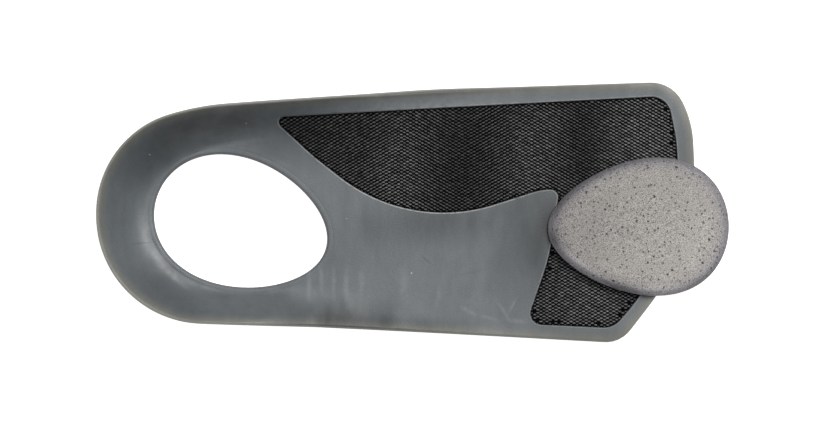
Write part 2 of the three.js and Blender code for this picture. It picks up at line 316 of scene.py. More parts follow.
class ClothSettings(PropertyGroup):
    """Sizes and finish of the woven panel."""

    thickness: length_setting("Backing", "Thickness of the cloth under its yarns", 0.6 * MM, 0.2 * MM)
    sink: length_setting("Sink", "How far the cloth's ground lies under the shell's surface", 0.45 * MM)
    weft_pitch: length_setting("Weft pitch", "Distance between weft yarns", 0.51 * MM, 0.2 * MM)
    warp_pitch: length_setting("Warp pitch", "Distance between warp yarns", 0.91 * MM, 0.2 * MM)
    prick_inset: length_setting("Prick inset", "Distance of the pricks from the edge", 1.15 * MM, 0.2 * MM)
    prick_spacing: length_setting("Prick spacing", "Distance between pricks", 1.5 * MM, 0.5 * MM)
    prick_size: length_setting("Prick size", "Width of a prick", 0.55 * MM, 0.1 * MM)
    colour: colour_setting("Ground colour", "Colour between the raised yarns", (0.002, 0.002, 0.0022))
    # The weft's colour is lifted well above the yarn's black, as painted sheen on its raised lengths.
    weft_colour_and_painted_sheen: colour_setting("Weft colour", "Colour of the raised weft yarns", (0.09, 0.09, 0.09))
    warp_colour: colour_setting("Warp colour", "Colour of the lower warp yarns", (0.003, 0.003, 0.0033))
    seed: IntProperty(
        name="Seed", description="Seed of the yarns' small differences", default=7, min=0,
    )


class PadSettings(PropertyGroup):
    """Place and finish of the foam pad."""

    lift: length_setting("Lift", "Height of the pad's sole over the floor", 3.3 * MM)
    colour: colour_setting("Colour", "Colour of the pad's top", (0.28, 0.266, 0.25))
    # The edge colour is cooler and, as painted shade of the rounded edge, darker.
    edge_colour: colour_setting("Edge colour", "Colour of the pad's rounded edge", (0.2, 0.191, 0.205))
    speck_colour: colour_setting("Speck colour", "Colour of the specks in the foam", (0.02, 0.02, 0.022))


class StageSettings(PropertyGroup):
    """Floor, light and camera."""

    floor_size: length_setting("Floor size", "Side of the floor", 8.0, 1.0)
    key_power: power_setting("Key power", "Power of the soft light", 24.6)
    fill_power: power_setting("Fill power", "Power of the weak light opposite", 1.5)
    panel_power: power_setting("Panel power", "Power of the wide panel overhead", 3.0)
    sky: FloatProperty(
        name="Sky", description="Strength of the light from all round", default=0.06, min=0.0,
    )
    camera_height: length_setting("Camera height", "Height of the camera over the floor", 0.8, 0.2)
    view_width: length_setting("View width", "Width of what the camera sees", 0.2472, 0.05)


# Plans


def unit_rows(vectors):
    """Rows of vectors, each made one long."""
    return vectors / np.linalg.norm(vectors, axis=-1, keepdims=True)


def rounded_outline(corners, count):
    """Points at even steps round a plan whose corners are arcs, in metres."""
    places = np.array([(corner.x, corner.y) for corner in corners])
    arcs = []
    for index, corner in enumerate(corners):
        here = places[index]
        back = unit_rows(places[index - 1] - here)
        ahead = unit_rows(places[(index + 1) % len(corners)] - here)
        half = math.acos(back @ ahead) / 2
        middle = here + unit_rows(back + ahead) * corner.radius / math.sin(half)
        reach = corner.radius / math.tan(half)
        start = here + back * reach - middle
        end = here + ahead * reach - middle
        turn = math.atan2(start[0] * end[1] - start[1] * end[0], start @ end)
        angles = math.atan2(start[1], start[0]) + turn * np.linspace(0, 1, ARC_POINTS)
        arcs.append(middle + corner.radius * np.column_stack((np.cos(angles), np.sin(angles))))
    path = np.concatenate([*arcs, arcs[0][:1]])
    along = np.concatenate([[0], np.cumsum(np.linalg.norm(np.diff(path, axis=0), axis=1))])
    marks = np.linspace(0, along[-1], count, endpoint=False)
    return MM * np.column_stack([np.interp(marks, along, path[:, axis]) for axis in (0, 1)])


def grown(outline, distance):
    """Counter-clockwise outline moved outwards by a distance."""
    along = unit_rows(np.roll(outline, -1, axis=0) - np.roll(outline, 1, axis=0))
    return outline + distance * np.column_stack((along[:, 1], -along[:, 0]))


def egg_outline(egg, angles, grow=0.0):
    """Points of an egg-shaped plan at the given angles, in metres."""
    long = (egg.length * MM / 2 + grow) * np.cos(angles)
    wide = (egg.width * MM / 2 + grow) * np.sin(angles) * (1 + egg.taper * np.cos(angles))
    tilt = math.radians(egg.tilt)
    x = egg.x * MM + long * math.cos(tilt) - wide * math.sin(tilt)
    y = egg.y * MM + long * math.sin(tilt) + wide * math.cos(tilt)
    return np.column_stack((x, y))


def smooth_column(rows, column, knot, places):
    """Smooth values of one column of a table, never past the rows on either side."""
    knots = np.array([getattr(row, knot) for row in rows], dtype=float)
    values = np.array([getattr(row, column) for row in rows], dtype=float)
    slopes = np.diff(values) / np.diff(knots)
    product = slopes[:-1] * slopes[1:]
    total = slopes[:-1] + slopes[1:]
    tangents = np.zeros(len(knots))
    tangents[1:-1] = np.where(product > 0, 2 * product / np.where(total == 0, 1, total), 0)
    index = np.clip(np.searchsorted(knots, places, side="right") - 1, 0, len(slopes) - 1)
    run = knots[index + 1] - knots[index]
    part = np.clip((places - knots[index]) / run, 0, 1)
    ease = part * part * (3 - 2 * part)
    leave = part * (1 - part) ** 2 * run * tangents[index]
    arrive = part * part * (part - 1) * run * tangents[index + 1]
    return values[index] + (values[index + 1] - values[index]) * ease + leave + arrive


class ShellWall:
    """Middle of the shell's wall, as spokes from the heel opening to the rim."""

    def __init__(self, wall, count):
        self.half_wall = wall / 2
        outline = rounded_outline(SHELL_CORNERS, count)
        inwards = grown(outline, -1.0) - outline
        centre = MM * np.array((OPENING.x, OPENING.y))
        angles = np.arctan2(outline[:, 1] - centre[1], outline[:, 0] - centre[0])
        first = SPOKE_SECTIONS[0].bearing
        bearings = (np.degrees(angles) - first) % 360 + first
        self.inner = egg_outline(OPENING, angles - math.radians(OPENING.tilt), OPENING_REACH)
        self.rise = MM * smooth_column(SPOKE_SECTIONS, "rise", "bearing", bearings)
        self.share = smooth_column(SPOKE_SECTIONS, "share", "bearing", bearings)
        self.flare = smooth_column(SPOKE_SECTIONS, "flare", "bearing", bearings)
        self.taper = np.minimum(1, self.rise / FULL_TAPER_RISE) * (self.half_wall - HALF_RIM)
        run = self.share * np.linalg.norm(outline - self.inner, axis=1)
        slope = np.arctan(2 * (1 - self.flare) * self.rise / run)
        half = self.half_wall - self.taper
        inset = np.hypot(half * np.sin(slope), np.minimum(half, RIM_REACH) * np.cos(slope))
        self.rim = outline + inwards * inset[:, None]
        self.length = np.linalg.norm(self.rim - self.inner, axis=1)

    def climb(self, step):
        """How far up its climb each spoke is: 0 on the flat sole, 1 at the rim."""
        return np.maximum(0, 1 - (1 - step) / self.share)

    def middle(self, step):
        """Points at one step of every spoke, or at a step for each."""
        step = np.broadcast_to(step, len(self.rim))
        climb = self.climb(step)
        level = climb ** 2 * (1 + self.flare * (2 - 2 * climb))
        plan = self.inner + (self.rim - self.inner) * step[:, None]
        return np.column_stack((plan, self.half_wall + self.rise * level))

    def ring(self, step, lift, reach=0.0, limit=RIM_REACH, sink=0.0):
        """Points off the middle: along its normal by a share of half the wall, and outwards."""
        here = self.middle(step)
        outwards = self.middle(step + SLOPE_STEP) - self.middle(step - SLOPE_STEP)
        around = unit_rows(np.roll(here, -1, axis=0) - np.roll(here, 1, axis=0))
        normal = unit_rows(np.cross(outwards, around))
        away = np.cross(around, normal)
        half = self.half_wall - self.taper * self.climb(step) ** 4
        up = (half * lift - sink)[:, None]
        out = (np.minimum(half, limit) * reach)[:, None]
        return here + up * normal + out * away

    def top_rings(self):
        """Rings of the top from the rim to the opening, with a fine groove round the opening."""
        lip = np.array([distance for distance, _ in LIP_GROOVE])
        start = lip[-1] * MM / self.length
        rings = [self.ring(start + (1 - start) * part, 1) for part in np.linspace(1, 0, TOP_STEPS)]
        for distance, depth in LIP_GROOVE[-2::-1]:
            rings.append(self.ring(distance * MM / self.length, 1, sink=depth * MM))
        return rings

    def section(self):
        """Rings once round the wall: up the rim, over the top, round the opening and back."""
        quarter = np.linspace(0, math.pi / 2, EDGE_STEPS, endpoint=False)
        rings = [self.ring(1, math.sin(turn), math.cos(turn)) for turn in quarter]
        rings += self.top_rings()
        for turn in np.linspace(0, math.pi, 2 * EDGE_STEPS, endpoint=False)[1:]:
            rings.append(self.ring(0, math.cos(turn), -math.sin(turn), OPENING_REACH))
        rings += [self.ring(step, -1) for step in np.linspace(0, 1, UNDER_STEPS)]
        for turn in quarter[:0:-1]:
            rings.append(self.ring(1, -math.sin(turn), math.cos(turn)))
        return np.stack(rings, axis=1)

    def top_tree(self):
        """Search tree of the top surface, before the recess is cut."""
        rings = [self.ring(step, 1) for step in np.linspace(0, 1, TOP_STEPS)]
        count = len(self.rim)
        faces = []
        for ring in range(TOP_STEPS - 1):
            for index in range(count):
                after = (index + 1) % count
                low, high = ring * count, (ring + 1) * count
                faces.append((low + index, high + index, high + after, low + after))
        points = [Vector(point) for point in np.concatenate(rings)]
        return BVHTree.FromPolygons(points, faces)


class HeightMap:
    """Heights of the shell's top on an even grid, read between its points."""

    def __init__(self, wall, low, high):
        tree = ShellWall(wall, SPOKE_COUNT).top_tree()
        self.low = np.array(low)
        self.shape = np.ceil((np.array(high) - self.low) / HEIGHT_MAP_STEP).astype(int) + 2
        self.heights = np.full(self.shape, wall)
        down = Vector((0, 0, -1))
        for column in range(self.shape[0]):
            for row in range(self.shape[1]):
                x, y = self.low + HEIGHT_MAP_STEP * np.array((column, row))
                hit = tree.ray_cast(Vector((x, y, 1.0)), down)[0]
                if hit is not None:
                    self.heights[column, row] = hit.z

    def at(self, plan):
        """Heights at rows of plan points."""
        places = (plan - self.low) / HEIGHT_MAP_STEP
        corner = np.clip(places.astype(int), 0, self.shape - 2)
        column, row = corner.T
        along, across = (places - corner).T
        near = self.heights[column, row] * (1 - along) + self.heights[column + 1, row] * along
        far = self.heights[column, row + 1] * (1 - along) + self.heights[column + 1, row + 1] * along
        return near * (1 - across) + far * across


def cloth_heights(settings):
    """Height map over the cloth's plan, with a margin."""
    outline = grown(rounded_outline(CLOTH_CORNERS, CLOTH_EDGE_POINTS), MAP_MARGIN)
    return HeightMap(settings.wall, outline.min(axis=0), outline.max(axis=0))


# Modelling


def deselect_all():
    """Leaves nothing selected, so that an operator acts on its own piece only."""
    if bpy.context.object and bpy.context.object.mode != "OBJECT":
        bpy.ops.object.mode_set(mode="OBJECT")
    bpy.ops.object.select_all(action="DESELECT")


def take_up(piece):
    """Makes one piece the only selected one, and the active one."""
    deselect_all()
    piece.select_set(True)
    bpy.context.view_layer.objects.active = piece


def new_piece(name):
    """Names the primitive that an operator has just added."""
    piece = bpy.context.object
    piece.name = name
    piece.data.name = name
    return piece


def points_of(piece):
    """Rows of the piece's points."""
    points = np.empty(3 * len(piece.data.vertices))
    piece.data.vertices.foreach_get("co", points)
    return points.reshape(-1, 3)


def move_points(piece, points):
    """Moves every point of a piece to its new place, and puts its object at the origin."""
    if len(points) != len(piece.data.vertices):
        raise RuntimeError(f"{piece.name} has {len(piece.data.vertices)} points, not {len(points)}")
    piece.location = (0, 0, 0)
    piece.data.vertices.foreach_set("co", np.ascontiguousarray(points, dtype=float).ravel())
    piece.data.update()


def edit_all(piece, action, **options):
    """Runs one operator of edit mode on the whole of a piece."""
    take_up(piece)
    bpy.ops.object.mode_set(mode="EDIT")
    bpy.ops.mesh.select_all(action="SELECT")
    action(**options)
    bpy.ops.object.mode_set(mode="OBJECT")


def face_outwards(piece):
    """Turns every face of a closed piece outwards."""
    edit_all(piece, bpy.ops.mesh.normals_make_consistent, inside=False)


def apply_modifier(piece, kind, **options):
    """Adds a modifier, sets it and applies it."""
    take_up(piece)
    modifier = piece.modifiers.new(kind.title(), kind)
    for option, value in options.items():
        setattr(modifier, option, value)
    bpy.ops.object.modifier_apply(modifier=modifier.name)


def drop_slivers(piece):
    """Takes away the faces and edges of no size that a cut can leave."""
    edit_all(piece, bpy.ops.mesh.dissolve_degenerate, threshold=SLIVER)


def discard(piece):
    """Takes a helper piece out of the file."""
    mesh = piece.data
    bpy.data.objects.remove(piece)
    bpy.data.meshes.remove(mesh)


def boolean(piece, other, operation):
    """Combines a piece with another, which is used up."""
    apply_modifier(piece, "BOOLEAN", object=other, operation=operation, solver="MANIFOLD")
    discard(other)
    drop_slivers(piece)
    if not piece.data.polygons:
        raise RuntimeError(f"Nothing is left of {piece.name} after {operation}")


def plan_prism(name, rings):
    """Closed prism through rings of points, made from a cylinder that is extruded ring by ring."""
    count = len(rings[0])
    deselect_all()
    bpy.ops.mesh.primitive_cylinder_add(vertices=count, radius=1, depth=1, location=(0, 0, 0))
    piece = new_piece(name)
    bpy.ops.object.mode_set(mode="EDIT")
    bpy.ops.mesh.select_mode(type="FACE")
    mesh = bmesh.from_edit_mesh(piece.data)
    for face in mesh.faces:
        face.select_set(face.normal.z > 0.9)
    bmesh.update_edit_mesh(piece.data)
    for _ in rings[2:]:
        bpy.ops.mesh.extrude_region_move(TRANSFORM_OT_translate={"value": (0, 0, 1)})
    bpy.ops.object.mode_set(mode="OBJECT")
    points = points_of(piece)
    level = np.rint(points[:, 2] + 0.5).astype(int)
    turn = np.arctan2(points[:, 1], points[:, 0]) / (2 * math.pi)
    place = np.rint(turn * count).astype(int) % count
    move_points(piece, np.stack(rings)[level, place])
    face_outwards(piece)
    return piece


def flat_ring(outline, height):
    """Outline at one height, or at a height for each point."""
    return np.column_stack((outline, np.broadcast_to(height, len(outline))))


def upright_sides(outline):
    """Rings of a prism that is taller than the shell."""
    return [flat_ring(outline, CUT_LOW), flat_ring(outline, CUT_HIGH)]


def lying_slab(name, heights, outline, sides, depth, thickness, offset):
    """Slab on a level under the shell's top, up or down from it, trimmed by a prism through rings."""
    low, high = outline.min(axis=0) - BLOCK_MARGIN, outline.max(axis=0) + BLOCK_MARGIN
    deselect_all()
    bpy.ops.mesh.primitive_grid_add(
        x_subdivisions=BLOCK_COLUMNS, y_subdivisions=BLOCK_ROWS, size=2, location=(0, 0, 0)
    )
    piece = new_piece(name)
    plan = low + (points_of(piece)[:, :2] + 1) / 2 * (high - low)
    move_points(piece, np.column_stack((plan, heights.at(plan) - depth)))
    apply_modifier(piece, "SOLIDIFY", thickness=thickness, offset=offset)
    boolean(piece, plan_prism("trimming_prism", sides), "INTERSECT")
    return piece


def distance_to(outline, plan):
    """Distance of plan points from the nearest point of a closed outline."""
    tree = KDTree(len(outline))
    for index, (x, y) in enumerate(outline):
        tree.insert((x, y, 0), index)
    tree.balance()
    return np.array([tree.find((x, y, 0))[2] for x, y in plan])


def inside_outline(outline, plan):
    """Which plan points lie inside a closed outline."""
    inside = np.zeros(len(plan), dtype=bool)
    for start, end in zip(outline, np.roll(outline, -1, axis=0)):
        crosses = (start[1] > plan[:, 1]) != (end[1] > plan[:, 1])
        rise = end[1] - start[1]
        if rise:
            reach = start[0] + (plan[:, 1] - start[1]) / rise * (end[0] - start[0])
            inside ^= crosses & (plan[:, 0] < reach)
    return inside


def store_values(piece, name, values):
    """Stores one number for each point of a piece, for its material to read."""
    layer = piece.data.attributes.new(name, "FLOAT", "POINT")
    layer.data.foreach_set("value", np.ascontiguousarray(values, dtype=np.float32))


def finish_piece(piece, material, nodes=()):
    """Smooths a piece, gives it its material and ties it to the frame."""
    take_up(piece)
    bpy.ops.object.shade_smooth_by_angle(angle=SMOOTH_ANGLE)
    piece.data.materials.clear()
    piece.data.materials.append(material)
    for node in nodes:
        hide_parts(node)
    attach(piece, BODY)


# Materials


class Nodes:
    """Nodes of one tree, each set or linked as it is added."""

    def __init__(self, tree):
        self.tree = tree

    def feed(self, node, inputs):
        """Sets or links some inputs of a node."""
        for socket, value in inputs.items():
            if isinstance(value, bpy.types.NodeSocket):
                self.tree.links.new(value, node.inputs[socket])
            else:
                node.inputs[socket].default_value = value

    def add(self, kind, inputs=None, **options):
        """Adds one node, with its options and its inputs."""
        node = self.tree.nodes.new(kind)
        for option, value in options.items():
            setattr(node, option, value)
        self.feed(node, inputs or {})
        return node

    def sums(self, operation, *values):
        """One kind of arithmetic through several values in turn."""
        total = values[0]
        for value in values[1:]:
            total = self.add("ShaderNodeMath", {0: total, 1: value}, operation=operation).outputs[0]
        return total

    def times(self, *values):
        """Product of several values."""
        return self.sums("MULTIPLY", *values)

    def plus(self, *values):
        """Sum of several values."""
        return self.sums("ADD", *values)

    def minus(self, first, second):
        """First value less the second."""
        return self.sums("SUBTRACT", first, second)

    def ranged(self, value, low, high, first=0.0, last=1.0):
        """Value moved smoothly from one range into another."""
        inputs = {"Value": value, "From Min": low, "From Max": high, "To Min": first, "To Max": last}
        return self.add("ShaderNodeMapRange", inputs, interpolation_type="SMOOTHSTEP").outputs["Result"]

    def mixed(self, amount, first, second, blend="MIX"):
        """Colour between two colours."""
        inputs = {0: amount}
        for socket, value in ((6, first), (7, second)):
            inputs[socket] = value if isinstance(value, bpy.types.NodeSocket) else (*value, 1.0)
        return self.add("ShaderNodeMix", inputs, data_type="RGBA", blend_type=blend).outputs[2]

    def toned(self, colour, tone):
        """Colour made lighter or darker."""
        return self.mixed(1.0, colour, tone, "MULTIPLY")

    def stretched(self, vector, scale):
        """Coordinates scaled along each axis."""
        return self.add("ShaderNodeVectorMath", {0: vector, 1: scale}, operation="MULTIPLY").outputs[0]

    def attribute(self, name):
        """Number that is stored on the piece's points."""
        return self.add("ShaderNodeAttribute", attribute_name=name).outputs["Fac"]

    def shared(self, name, fill, vector, **numbers):
        """Output of a shared group, which is made the first time that it is used."""
        group = bpy.data.node_groups.get(name)
        if group is None:
            group = bpy.data.node_groups.new(name, "ShaderNodeTree")
            group.interface.new_socket("vector", in_out="INPUT", socket_type="NodeSocketVector")
            for number in numbers:
                group.interface.new_socket(number, in_out="INPUT", socket_type="NodeSocketFloat")
            group.interface.new_socket("value", in_out="OUTPUT", socket_type="NodeSocketFloat")
            inside = Nodes(group)
            given = inside.add("NodeGroupInput").outputs
            inside.add("NodeGroupOutput", {"value": fill(inside, given)})
        inputs = {"vector": vector, **numbers}
        return self.add("ShaderNodeGroup", inputs, node_tree=group).outputs["value"]

    def mottle(self, vector, scale, spread):
        """Soft cloudy variation round 1."""
        return self.shared("Soft mottle", mottle_nodes, vector, scale=scale, spread=spread)

    def grain(self, vector, scale, detail):
        """Fine grain between 0 and 1, for bump and small changes of tone."""
        return self.shared("Fine grain", grain_nodes, vector, scale=scale, detail=detail)

    def specks(self, vector, scale, radius, share):
        """Mask of scattered specks of mixed size."""
        return self.shared("Scattered specks", speck_nodes, vector, scale=scale, radius=radius, share=share)


def mottle_nodes(nodes, given):
    """Value of the group that makes soft clouds."""
    noise = nodes.add("ShaderNodeTexNoise", {
        "Vector": given["vector"], "Scale": given["scale"], "Detail": 4.0, "Roughness": 0.55,
    })
    around = nodes.minus(noise.outputs["Fac"], 0.5)
    return nodes.plus(nodes.times(around, given["spread"], 4.0), 1.0)


def grain_nodes(nodes, given):
    """Value of the group that makes fine grain."""
    noise = nodes.add("ShaderNodeTexNoise", {
        "Vector": given["vector"], "Scale": given["scale"], "Detail": given["detail"], "Roughness": 0.6,
    })
    return nodes.ranged(noise.outputs["Fac"], 0.3, 0.7)


def speck_nodes(nodes, given):
    """Value of the group that scatters specks: bent cells, of which a share is marked."""
    inputs = {0: given["vector"], "Scale": given["scale"]}
    scaled = nodes.add("ShaderNodeVectorMath", inputs, operation="SCALE").outputs["Vector"]
    bends = nodes.add("ShaderNodeTexNoise", {"Vector": scaled, "Scale": 2.2, "Detail": 1.0})
    inputs = {0: bends.outputs["Color"], 1: (0.5, 0.5, 0.5), 2: scaled}
    bent = nodes.add("ShaderNodeVectorMath", inputs, operation="MULTIPLY_ADD").outputs["Vector"]
    cells = nodes.add("ShaderNodeTexVoronoi", {"Vector": bent, "Scale": 1.0})
    chance = nodes.add("ShaderNodeSeparateColor", {"Color": cells.outputs["Color"]}).outputs
    radius = nodes.times(given["radius"], nodes.ranged(chance["Green"], 0.0, 1.0, 0.45, 1.0))
    speck = nodes.ranged(cells.outputs["Distance"], nodes.times(radius, 0.6), radius, 1.0, 0.0)
    return nodes.times(speck, nodes.sums("LESS_THAN", chance["Red"], given["share"]))


class Look(Nodes):
    """Nodes of one new material, with its shader and its place on the object."""

    def __init__(self, name):
        self.material = bpy.data.materials.new(name)
        self.material.use_nodes = True
        super().__init__(self.material.node_tree)
        self.shader = self.tree.nodes["Principled BSDF"]
        self.place = self.add("ShaderNodeTexCoord").outputs["Object"]

    def shade(self, **inputs):
        """Sets or links the shader's colour, roughness, gloss or glow."""
        self.feed(self.shader, {SHADER_INPUTS[name]: value for name, value in inputs.items()})

    def bump(self, height, strength, distance):
        """Feeds a height to the shader's normal."""
        inputs = {"Height": height, "Strength": strength, "Distance": distance}
        self.feed(self.shader, {"Normal": self.add("ShaderNodeBump", inputs).outputs["Normal"]})

    def upward(self):
        """How far a surface faces up: 0 on the sides and the underside, 1 on the top."""
        normal = self.add("ShaderNodeTexCoord").outputs["Normal"]
        height = self.add("ShaderNodeSeparateXYZ", {"Vector": normal}).outputs["Z"]
        return self.ranged(height, 0.0, 0.3)

    def scuffs(self, scuffs):
        """Mask of soft long marks, each an ellipse that fades outwards."""
        marks = []
        for scuff in scuffs:
            placed = self.add("ShaderNodeMapping", {
                "Vector": self.place,
                "Location": (scuff.x * MM, scuff.y * MM, SCUFF_LEVEL),
                "Rotation": (0, 0, math.radians(scuff.turn)),
                "Scale": (scuff.length * MM / 2, scuff.width * MM / 2, SCUFF_DEPTH),
            }, vector_type="TEXTURE").outputs["Vector"]
            fade = self.add("ShaderNodeTexGradient", {"Vector": placed}, gradient_type="SPHERICAL")
            marks.append(self.ranged(fade.outputs["Fac"], 0.0, 1.0, 0.0, scuff.strength))
        return self.plus(*marks)


def shell_material(settings):
    """Satin moulded rubber: cloudy, worn along its rim, with rubbed marks and dust, broad patches of painted
    shade, and painted highlights round the opening, along the outermost edge and on the line round the
    recess.
    """
    look = Look("Moulded rubber")
    brushed = look.stretched(look.place, (1.0, 0.3, 1.0))
    broad = look.mottle(look.place, scale=60.0, spread=0.11)
    close = look.mottle(brushed, scale=320.0, spread=0.1)
    rub = look.mottle(look.place, scale=140.0, spread=0.25)
    broken = look.mottle(look.place, scale=620.0, spread=0.5)
    patches = look.mottle(brushed, scale=180.0, spread=0.5)
    grain = look.grain(look.place, scale=2600.0, detail=3.0)
    top = look.upward()
    rim = look.attribute("rim")
    worn = look.times(look.sums("POWER", rim, 1.6), rub)
    colour = look.mixed(worn, settings.colour, settings.rim_colour)
    # Broad patches of painted shade, on surfaces that face up.
    painted_shade = look.times(look.scuffs(PAINTED_SHADE_PATCHES), -0.6, top)
    tone = look.times(broad, close, look.ranged(grain, 0.0, 1.0, 0.94, 1.06), look.plus(painted_shade, 1.0))
    colour = look.toned(colour, tone)
    # Pale marks, some of them painted highlights.
    pale = look.times(look.scuffs(PALE_MARKS_AND_HIGHLIGHTS), broken, top)
    # A painted highlight on the rounded lip of the opening.
    pale = look.plus(pale, look.times(look.attribute("lip"), 0.3))
    colour = look.mixed(look.times(pale, 0.5), colour, PALE_MARK_AND_HIGHLIGHT_COLOUR)
    # A painted highlight along the outermost edge of the rim.
    painted_edge_light = look.ranged(rim, 0.78, 1.0, 0.0, 0.75)
    colour = look.mixed(painted_edge_light, colour, settings.edge_colour)
    dark = look.times(look.scuffs(DARK_MARKS), top)
    colour = look.mixed(dark, colour, DARK_MARK_COLOUR)
    # A painted highlight on the raised line round the recess, strongest along one stretch.
    collar_highlight_strength = look.plus(look.scuffs(COLLAR_HIGHLIGHT_STRETCH), 0.3)
    line = look.times(look.attribute("collar"), look.ranged(broken, 0.3, 1.3), collar_highlight_strength)
    colour = look.mixed(line, colour, settings.collar_highlight_colour)
    dust = look.specks(look.place, scale=160.0, radius=0.03, share=0.3)
    colour = look.mixed(look.times(dust, 0.5), colour, DUST_COLOUR)
    roughness = look.ranged(patches, 0.5, 1.5, settings.roughness - 0.1, settings.roughness + 0.1)
    roughness = look.minus(roughness, look.times(painted_shade, 0.25))
    look.shade(colour=colour, roughness=roughness)
    look.bump(grain, strength=0.15, distance=0.12 * MM)
    return look.material


def ground_material(settings):
    """Dark ground of the cloth, seen between the yarns."""
    look = Look("Cloth ground")
    tone = look.mottle(look.place, scale=300.0, spread=0.2)
    look.shade(colour=look.toned(settings.colour, tone), roughness=0.9, gloss=0.02)
    look.bump(look.grain(look.place, scale=6000.0, detail=2.0), strength=0.3, distance=0.05 * MM)
    return look.material


def yarn_material(yarn, colour):
    """Yarn with fine fibres along it, with a painted highlight where it stands highest, painted shade where
    it dips, and painted sheen where a band is lit.
    """
    look = Look(yarn.look)
    fibres = look.grain(look.stretched(look.place, yarn.stretch), scale=9000.0, detail=2.0)
    # Painted highlight on each raised length's crown, and painted shade towards its ends and sides.
    crown = look.ranged(look.attribute("crown"), 0.0, 1.0, 0.16, 1.4)
    bands = look.plus(look.minus(look.scuffs(LIT_BANDS), look.scuffs(DARK_BANDS)), 0.55)
    streaks = look.ranged(fibres, 0.0, 1.0, 0.75, 1.25)
    base = look.toned(colour, look.times(crown, bands, look.attribute("shade"), streaks))
    lint = look.specks(look.place, scale=420.0, radius=0.05, share=0.12)
    base = look.mixed(look.times(lint, 0.4), base, LINT_COLOUR)
    look.shade(colour=base, roughness=0.6, gloss=yarn.gloss)
    look.bump(fibres, strength=0.35, distance=0.04 * MM)
    return look.material


def foam_material(settings):
    """Matt foam: warm on top, cooler and darker round the edge, partly as painted shade, with painted light
    and shade on its sides and dark specks of mixed size.
    """
    look = Look("Speckled foam")
    colour = look.mixed(look.attribute("edge"), settings.colour, settings.edge_colour)
    broad = look.mottle(look.place, scale=70.0, spread=0.05)
    grain = look.grain(look.place, scale=4200.0, detail=2.0)
    # Painted light and shade on the pad's sides.
    pale = look.plus(look.scuffs(FOAM_PAINTED_LIGHT_AND_SHADE), 1.0)
    colour = look.toned(colour, look.times(broad, look.ranged(grain, 0.0, 1.0, 0.56, 1.4), pale))
    flecks = look.specks(look.place, scale=2100.0, radius=0.5, share=0.3)
    colour = look.mixed(look.times(flecks, 0.5), colour, FLECK_COLOUR)
    fine = look.specks(look.place, scale=1700.0, radius=0.46, share=0.72)
    middle = look.specks(look.place, scale=820.0, radius=0.37, share=0.62)
    coarse = look.specks(look.place, scale=560.0, radius=0.28, share=0.62)
    specks = look.sums("MAXIMUM", look.times(fine, 0.45), look.times(middle, 0.68), look.times(coarse, 0.9))
    colour = look.mixed(specks, colour, settings.speck_colour)
    look.shade(colour=colour, roughness=look.ranged(grain, 0.0, 1.0, 0.8, 0.98), gloss=0.3)
    look.bump(look.minus(grain, specks), strength=0.4, distance=0.1 * MM)
    return look.material


def floor_material():
    """Pale matt floor with a barely seen mottle."""
    look = Look("Pale floor")
    colour = look.toned(FLOOR_COLOUR, look.mottle(look.place, scale=6.0, spread=0.004))
    seen = look.add("ShaderNodeLightPath").outputs["Is Camera Ray"]
    look.shade(colour=colour, roughness=0.9, gloss=0.1)
    look.shade(glow_colour=WHITE, glow=look.ranged(seen, 0.0, 1.0, 0.14, 0.92))
    return look.material


# Yarns


def weave_places(settings):
    """Places of the yarns' crossings inside the cloth, with which yarn lies over at each and its distance
    from the edge.
    """
    outline = rounded_outline(CLOTH_CORNERS, 4 * CLOTH_EDGE_POINTS)
    pitch = np.array((settings.warp_pitch, settings.weft_pitch))
    first = np.floor(outline.min(axis=0) / pitch)
    last = np.ceil(outline.max(axis=0) / pitch)
    grids = np.meshgrid(np.arange(first[0], last[0]), np.arange(first[1], last[1]), indexing="ij")
    crossings = np.column_stack([grid.ravel() for grid in grids])
    crossings = crossings[inside_outline(outline, crossings * pitch)]
    edge = distance_to(outline, crossings * pitch)
    kept = ~pricked(outline, crossings * pitch, edge, settings)
    return crossings[kept] * pitch, crossings[kept].sum(axis=1) % 2 == 0, edge[kept]


def pricked(outline, plan, edge, settings):
    """Which crossings a row of pricks takes away, just inside the lobe and the front edge."""
    inner = grown(outline, -settings.prick_inset)
    steps = np.linalg.norm(np.diff(inner, axis=0, append=inner[:1]), axis=1)
    spacing = np.diff(np.floor(np.cumsum(steps) / settings.prick_spacing), prepend=0) > 0
    x, y = inner.T
    lobe_or_front = (x > PRICK_START) & ((y < PRICK_LOBE) | (x > PRICK_FRONT))
    near = distance_to(inner[spacing & lobe_or_front], plan) < settings.prick_size / 2
    return near & (edge < 2 * settings.prick_inset)


def yarn_lean(plan):
    """Angle by which the weft leans at each crossing. The lobe's yarns lie straight."""
    places, leans = np.array(YARN_LEANS).T
    straight = np.clip((plan[:, 1] - LEAN_START) / LEAN_SPAN, 0, 1)
    return np.interp(plan[:, 0], places * MM, leans) * straight


def float_faces(count):
    """Faces of a number of raised lengths of yarn, each a closed tube of a few faces."""
    faces = []
    for start in range(0, FLOAT_POINTS - FLOAT_ACROSS, FLOAT_ACROSS):
        for first in range(start, start + FLOAT_ACROSS - 1):
            faces.append((first, first + 1, first + FLOAT_ACROSS + 1, first + FLOAT_ACROSS))
        right = start + FLOAT_ACROSS - 1
        faces.append((start, start + FLOAT_ACROSS, right + FLOAT_ACROSS, right))
    faces.append(tuple(range(FLOAT_ACROSS))[::-1])
    faces.append(tuple(range(FLOAT_POINTS - FLOAT_ACROSS, FLOAT_POINTS)))
    starts = np.arange(count) * FLOAT_POINTS
    return (np.array(faces)[None] + starts[:, None, None]).reshape(-1, 4)


